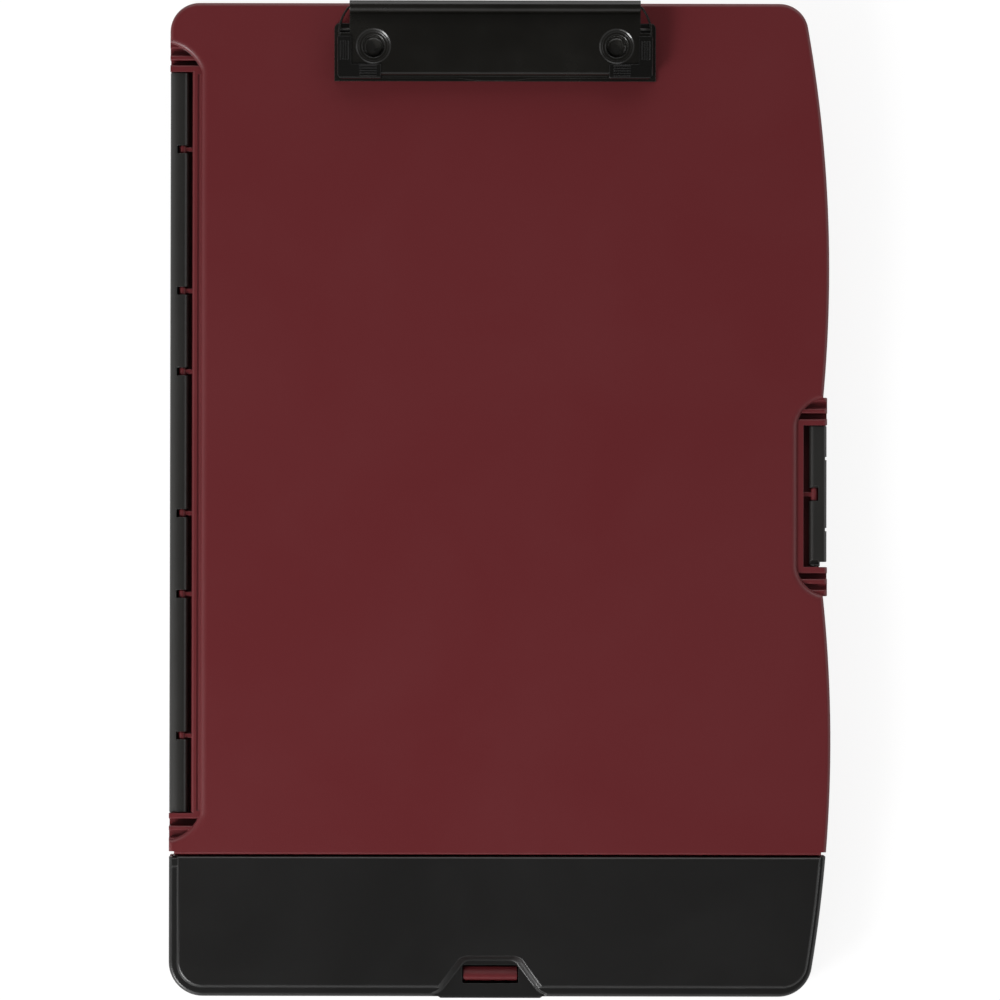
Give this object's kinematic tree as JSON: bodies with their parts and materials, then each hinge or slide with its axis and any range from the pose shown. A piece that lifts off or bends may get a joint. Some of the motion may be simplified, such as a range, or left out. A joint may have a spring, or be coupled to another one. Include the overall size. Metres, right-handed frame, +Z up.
{
  "type": "storage clipboard box",
  "caption": "Hinged paper case with a writing board and low-profile clip on its cover, a swinging side latch, and a lidded pen compartment along one end.",
  "frame": {"origin": "middle of the footprint on the flat back, which is the table when the case lies with its clip up", "axes": "+Y towards the clip end, +X towards the latch side, +Z up through the writing board"},
  "size_m": [0.262, 0.3946, 0.0366],
  "materials": {
    "case_plastic": "fine matte grain, burgundy",
    "black_plastic": "satin moulded, black",
    "clip_steel": "gloss black enamel",
    "bare_steel": "plain drawn wire and sheet",
    "grip_rubber": "matte black rubber"
  },
  "bodies": {
    "tray": {"tray": "case_plastic"},
    "spine": {"hinge_spine": "black_plastic"},
    "cover": {"cover": "case_plastic", "clip_base": "clip_steel", "clip_rod": "bare_steel", "clip_spring": "bare_steel", "clip_rivets": "clip_steel", "rivet_washers": "bare_steel"},
    "latch": {"latch": "black_plastic"},
    "pen_lid": {"pen_lid": "black_plastic"},
    "clip_jaw": {"clip_jaw": "clip_steel", "grip_left": "grip_rubber", "grip_right": "grip_rubber"}
  },
  "joints": [
    {"name": "spine_hinge", "type": "hinge", "parent": "tray", "child": "spine", "pos_m": [-0.126, 0, 0.0048], "axis": [0, -1, 0], "range_deg": [0, 90]},
    {"name": "cover_hinge", "type": "hinge", "parent": "spine", "child": "cover", "pos_m": [-0.126, 0, 0.0202], "axis": [0, -1, 0], "range_deg": [0, 90]},
    {"name": "latch_pivot", "type": "hinge", "parent": "cover", "child": "latch", "pos_m": [0.1246, 0, 0.0205], "axis": [0, -1, 0], "range_deg": [0, 90]},
    {"name": "pen_lid_hinge", "type": "hinge", "parent": "tray", "child": "pen_lid", "pos_m": [0, -0.14365, 0.0224], "axis": [-1, 0, 0], "range_deg": [0, 95]},
    {"name": "clip_pivot", "type": "hinge", "parent": "cover", "child": "clip_jaw", "pos_m": [0, 0.1855, 0.0296], "axis": [-1, 0, 0], "range_deg": [0, 25], "stiffness_Nm_per_rad": 0.6, "springref_deg": -17.19, "deforming": ["clip_spring"]}
  ]
}
